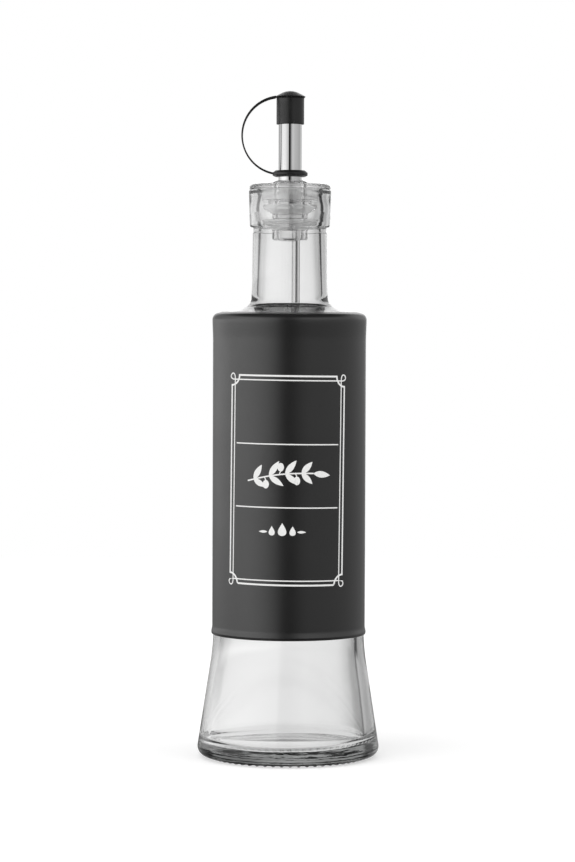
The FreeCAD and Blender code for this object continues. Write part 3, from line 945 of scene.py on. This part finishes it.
root_angle = math.acos((STRAP_START - OUTER_ARC[0]) / OUTER_ARC[2])
strap = start_line("cap_strap", arc_point(OUTER_ARC, root_angle))
bpy.ops.transform.translate(value=(0, -STRAP_WIDTH / 2 * MM, 0))
extrude_by((0, STRAP_WIDTH * MM, 0))
bpy.ops.mesh.select_all(action="SELECT")
extrude_by(arc_point(INNER_ARC, root_angle) - arc_point(OUTER_ARC, root_angle))
bpy.ops.mesh.select_all(action="SELECT")
centre = (OUTER_ARC[0] * MM, 0, OUTER_ARC[1] * MM)
loop = math.tau - 2 * root_angle
bpy.ops.mesh.spin(steps=STRAP_STEPS, angle=loop, center=centre, axis=(0, 1, 0))
bpy.ops.mesh.select_all(action="SELECT")
bpy.ops.mesh.remove_doubles(threshold=TOUCHING)
bpy.ops.mesh.normals_make_consistent(inside=False)
print("strap bent through", round(math.degrees(loop)), "degrees")

# %% [markdown]
# Spun about one centre, the strap has one thickness. The real one thins towards its middle,
# so each inner point is slid along its radius onto a second arc with a slightly different
# centre.

# %% Thin the strap and fuse the cap
INNER_SIDE = OUTER_ARC[2] - 0.2  # mm, less than this from the outer centre is the inner side
STRAP_EASE = 0.1  # mm, how far its long edges are rounded
CORNER_ANGLE = math.radians(57)  # edges that bend more than this are the strap's corners
STRAIGHT = 1e-6  # metres that a long edge may stray across the strap

mesh = bmesh.from_edit_mesh(strap.data)
hub = in_section(INNER_ARC)
outer_hub = Vector(centre)
for vert in mesh.verts:
    arm = Vector((vert.co.x, 0, vert.co.z)) - outer_hub
    if arm.length < INNER_SIDE * MM:
        away = (Vector((vert.co.x, 0, vert.co.z)) - hub).normalized()
        slid = hub + away * INNER_ARC[2] * MM
        vert.co.x, vert.co.z = slid.x, slid.z
bmesh.update_edit_mesh(strap.data)


def long_edge(edge):
    """True for the strap's four long edges, where two faces meet at about a right angle."""
    along = edge.verts[1].co - edge.verts[0].co
    return (abs(along.y) < STRAIGHT and len(edge.link_faces) == 2
            and edge.calc_face_angle(0) > CORNER_ANGLE)


select_where(long_edge, "edges")
bpy.ops.mesh.bevel(offset=STRAP_EASE * MM, segments=2, affect="EDGES")
bpy.ops.object.mode_set(mode="OBJECT")
bpy.ops.object.shade_smooth_by_angle(angle=SMOOTH_ANGLE)

deselect_all()
bpy.context.view_layer.objects.active = dust_cap
dust_cap.select_set(True)
for part in (ring, strap):
    union = dust_cap.modifiers.new("fuse", "BOOLEAN")
    union.operation = "UNION"
    union.object = part
    union.solver = "EXACT"
    bpy.ops.object.modifier_apply(modifier=union.name)
bpy.ops.object.shade_smooth_by_angle(angle=SMOOTH_ANGLE)
for part in (ring, strap):
    bpy.data.objects.remove(part)
dress(dust_cap, black_rubber, "dust_cap")

# %% [markdown]
# ## The floor
#
# The floor is plain, pale and matt, and it holds the cruet's shadow. What the camera sees of
# it is lifted to white by a weak glow for camera rays alone, which lights nothing.
# Mirrors and glass don't show the floor: for them the world has a level of its own there.

# %% Floor
FLOOR_RADIUS = 0.9  # metres
FLOOR_TONES = (0.80, 0.82)
FLOOR_GLOW = 0.25


def ray_is(tree, kind):
    """1 for rays of this kind and 0 for the others."""
    return add_node(tree, "ShaderNodeLightPath").outputs[f"Is {kind} Ray"]


deselect_all()
bpy.ops.mesh.primitive_circle_add(vertices=96, radius=FLOOR_RADIUS, fill_type="NGON",
                                  location=(0, 0, 0))
floor = bpy.context.object
floor.visible_transmission = False
floor.visible_glossy = False
floor.name = "studio_floor"
floor_paint, tree, output = start_material("floor_paint")
tone = spread(tree, noise(tree, object_space(tree), 4), *FLOOR_TONES)
matt = add_node(tree, "ShaderNodeBsdfDiffuse", {"Color": tone})
lift = add_node(tree, "ShaderNodeMath", {0: ray_is(tree, "Camera"), 1: FLOOR_GLOW},
                operation="MULTIPLY")
glow = add_node(tree, "ShaderNodeEmission", {"Strength": lift.outputs[0]})
both = add_node(tree, "ShaderNodeAddShader", {0: matt.outputs[0], 1: glow.outputs[0]})
show(tree, both, output)
floor.data.materials.append(floor_paint)
print("floor", FLOOR_RADIUS, "m in radius")

# %% [markdown]
# ## The world
#
# Glass, steel and gloss look like what surrounds them, so the studio is painted into the
# world, and read by the direction that a ray leaves in. The camera itself sees plain white,
# and matt surfaces see an even level.
#
# Paint, rubber and steel mirror a large soft light on the left, a weaker one on the right
# and a dark gap in front. Right behind the cruet it is bright again, which shows where a
# surface is seen at a grazing angle, as on the shoulder. There are three sets of levels: for
# rays that stay level, as from the sleeve, for rays that fall, as from the foot, and for
# rays that climb, as from the spout, the cap and the neck.
#
# Rays that come out of glass see white straight behind and dark bands off to the sides,
# which the round walls bend into thin dark outlines, as black cards do in a studio. Rays
# that fall see softer bands, and steeper ones an even level. Straight below and overhead it
# is darker. Towards the front the two changes for falling rays begin higher up, so that the
# dark gap in front isn't seen through the glass from behind.

# %% World helpers
world = bpy.data.worlds.new("studio")
bpy.context.scene.world = world
world.use_nodes = True
tree = world.node_tree
tree.nodes.clear()


def math_node(operation, first, second=0.0, third=0.0):
    return add_node(tree, "ShaderNodeMath", {0: first, 1: second, 2: third},
                    operation=operation).outputs[0]


def around(bearing, levels):
    """Brightness by bearing, as a ramp through (degrees, brightness) stops."""
    top = max(bright for degrees, bright in levels)
    turn_share = math_node("MULTIPLY_ADD", bearing, 1 / math.tau, 0.5)
    ramp = add_node(tree, "ShaderNodeValToRGB", {"Fac": turn_share})
    stops = ramp.color_ramp.elements
    while len(stops) < len(levels):
        stops.new(0.5)
    for stop, (degrees, bright) in zip(stops, levels):
        stop.position = degrees / 360 + 0.5
        stop.color = grey(bright / top)
    return math_node("MULTIPLY", ramp.outputs["Color"], top)


def blend(factor, first, second):
    return add_node(tree, "ShaderNodeMix", {0: factor, 2: first, 3: second}).outputs[0]


direction = add_node(tree, "ShaderNodeTexCoord").outputs["Generated"]
axes = add_node(tree, "ShaderNodeSeparateXYZ", {0: direction})
climb = axes.outputs["Z"]
backwards = math_node("MULTIPLY", axes.outputs["Y"], -1.0)
bearing = math_node("ARCTAN2", axes.outputs["X"], backwards)

# %% What paint, rubber and steel mirror
MIRRORED = [  # (degrees round from the front towards +X, brightness)
    (-180, 1.4), (-168, 1.2), (-160, 0.25), (-140, 1.2), (-110, 2.7), (-60, 3.0), (-35, 2.2),
    (-14, 1.0), (-10, 0.01), (8, 0.01), (14, 0.08), (60, 0.24), (110, 0.36), (150, 0.35),
    (160, 0.4), (168, 1.2), (180, 1.4)]
MIRRORED_LOW = [  # for rays that fall
    (-180, 0.1), (-150, 0.3), (-135, 0.3), (-112, 0.02), (-95, 0.03), (-78, 0.1), (-40, 0.22),
    (-18, 0.1), (-12, 0.01), (12, 0.01), (22, 0.06), (60, 0.14), (110, 0.32), (150, 0.32),
    (180, 0.4)]
MIRRORED_HIGH = [  # for rays that climb
    (-180, 1.5), (-168, 1.4), (-158, 0.35), (-137, 0.5), (-106, 0.85), (-74, 1.2), (-50, 1.15),
    (-29, 0.85), (-16, 0.7), (-13, 0.02), (2, 0.02), (7, 0.3), (24, 0.8), (50, 0.66),
    (75, 0.6), (106, 0.5), (135, 0.8), (158, 0.5), (168, 1.4), (180, 1.5)]
GAP_TURN = math.radians(16)  # how far the level pattern has turned where rays begin to climb
FLOOR_MIRRORED, CEILING_MIRRORED = 0.1, 0.08  # the share of the mirrored levels left there

# Each change is spread over two heights of a ray's direction: -1 is straight down, 1 is up.
FALLING_TO_LEVEL = (-0.085, -0.02)
LEVEL_TO_CLIMBING = (0.0, 0.045)
GAP_TURNS = (0.0, 0.04)
TO_FLOOR = (-0.5, -0.25)
TO_CEILING = (0.56, 0.68)

gap_turn = map_range(tree, climb, GAP_TURNS, 0.0, GAP_TURN)
mirrored_level = around(math_node("ADD", bearing, gap_turn), MIRRORED)
mirrored = blend(map_range(tree, climb, FALLING_TO_LEVEL),
                 around(bearing, MIRRORED_LOW), mirrored_level)
mirrored = blend(map_range(tree, climb, LEVEL_TO_CLIMBING),
                 mirrored, around(bearing, MIRRORED_HIGH))
mirrored = math_node("MULTIPLY", mirrored,
                     map_range(tree, climb, TO_FLOOR, FLOOR_MIRRORED, 1.0))
mirrored = math_node("MULTIPLY", mirrored,
                     map_range(tree, climb, TO_CEILING, 1.0, CEILING_MIRRORED))

# %% What glass shows
BEHIND = [  # for rays that come out of glass
    (-180, 0.93), (-173, 0.88), (-163, 0.66), (-139, 0.62), (-134, 0.12), (-122, 0.12),
    (-110, 0.9), (-40, 1.1), (-12, 1.0), (-5, 0.03), (22, 0.03), (28, 0.33), (50, 0.4),
    (70, 0.85), (110, 0.85), (116, 0.02), (133, 0.02), (138, 0.58), (152, 0.48),
    (162, 0.48), (172, 0.82), (180, 0.93)]
BEHIND_LOW = [  # for those of them that fall
    (-180, 0.93), (-172, 0.9), (-162, 0.75), (-153, 0.6), (-146, 0.35), (-124, 0.35),
    (-110, 0.9), (-12, 0.9), (-2, 0.55), (16, 0.55), (26, 0.7), (50, 0.85), (110, 0.85),
    (120, 0.6), (125, 0.02), (140, 0.02), (145, 0.4), (160, 0.45), (172, 0.85), (180, 0.93)]
BELOW = 0.85
STRAIGHT_DOWN = 0.5
OVERHEAD = 0.5
FRONT_DROP = 0.10  # towards the front, glass rays count as falling this much more
GLASS_FALLING_TO_LEVEL = (-0.12, -0.09)  # heights of a ray's direction, as above
GLASS_PATTERN_BEGINS = (-0.36, -0.28)
GLASS_FLOOR = (-0.85, -0.6)
GLASS_CEILING = (0.6, 0.8)

in_front = math_node("LESS_THAN", axes.outputs["Y"], 0.0)
glass_climb = math_node("MULTIPLY_ADD", in_front, -FRONT_DROP, climb)
behind = blend(map_range(tree, glass_climb, GLASS_FALLING_TO_LEVEL),
               around(bearing, BEHIND_LOW), around(bearing, BEHIND))
behind = blend(map_range(tree, glass_climb, GLASS_PATTERN_BEGINS), BELOW, behind)
behind = blend(map_range(tree, climb, GLASS_FLOOR), STRAIGHT_DOWN, behind)
behind = blend(map_range(tree, climb, GLASS_CEILING), behind, OVERHEAD)

# %% Join them by the kind of ray
AMBIENT = 0.8  # for matt surfaces

seen = blend(ray_is(tree, "Diffuse"), mirrored, AMBIENT)
seen = blend(ray_is(tree, "Transmission"), seen, behind)
seen = blend(ray_is(tree, "Camera"), seen, 1.0)
sky = add_node(tree, "ShaderNodeBackground", {"Color": grey(1), "Strength": seen})
add_node(tree, "ShaderNodeOutputWorld", {"Surface": sky.outputs[0]})
print("world nodes:", len(tree.nodes))

# %% [markdown]
# ## The lamps
#
# Two soft lamps from above light the paint, the print and the floor, the left one three times
# as strong. Mirrors and glass don't show them, because the world holds what they reflect.

# %% Lamps
LAMP_AIM = Vector((0, 0, 0.12))  # the middle of the cruet


def soft_lamp(name, place, size, power):
    """A soft area lamp aimed at the cruet, which mirrors and glass don't show."""
    deselect_all()
    bpy.ops.object.light_add(type="AREA", location=place)
    lamp = bpy.context.object
    lamp.name = name
    lamp.data.shape = "RECTANGLE"
    lamp.data.size, lamp.data.size_y = size
    lamp.data.energy = power
    aim_line = LAMP_AIM - Vector(place)
    lamp.rotation_euler = aim_line.to_track_quat("-Z", "Y").to_euler()
    lamp.visible_camera = False
    lamp.visible_transmission = False
    lamp.visible_glossy = False
    print(name, power, "W")


soft_lamp("left_softbox", (-0.7, -0.6, 1.4), (1.4, 1.4), 9)
soft_lamp("right_softbox", (0.9, -0.4, 1.2), (1.0, 1.0), 3)
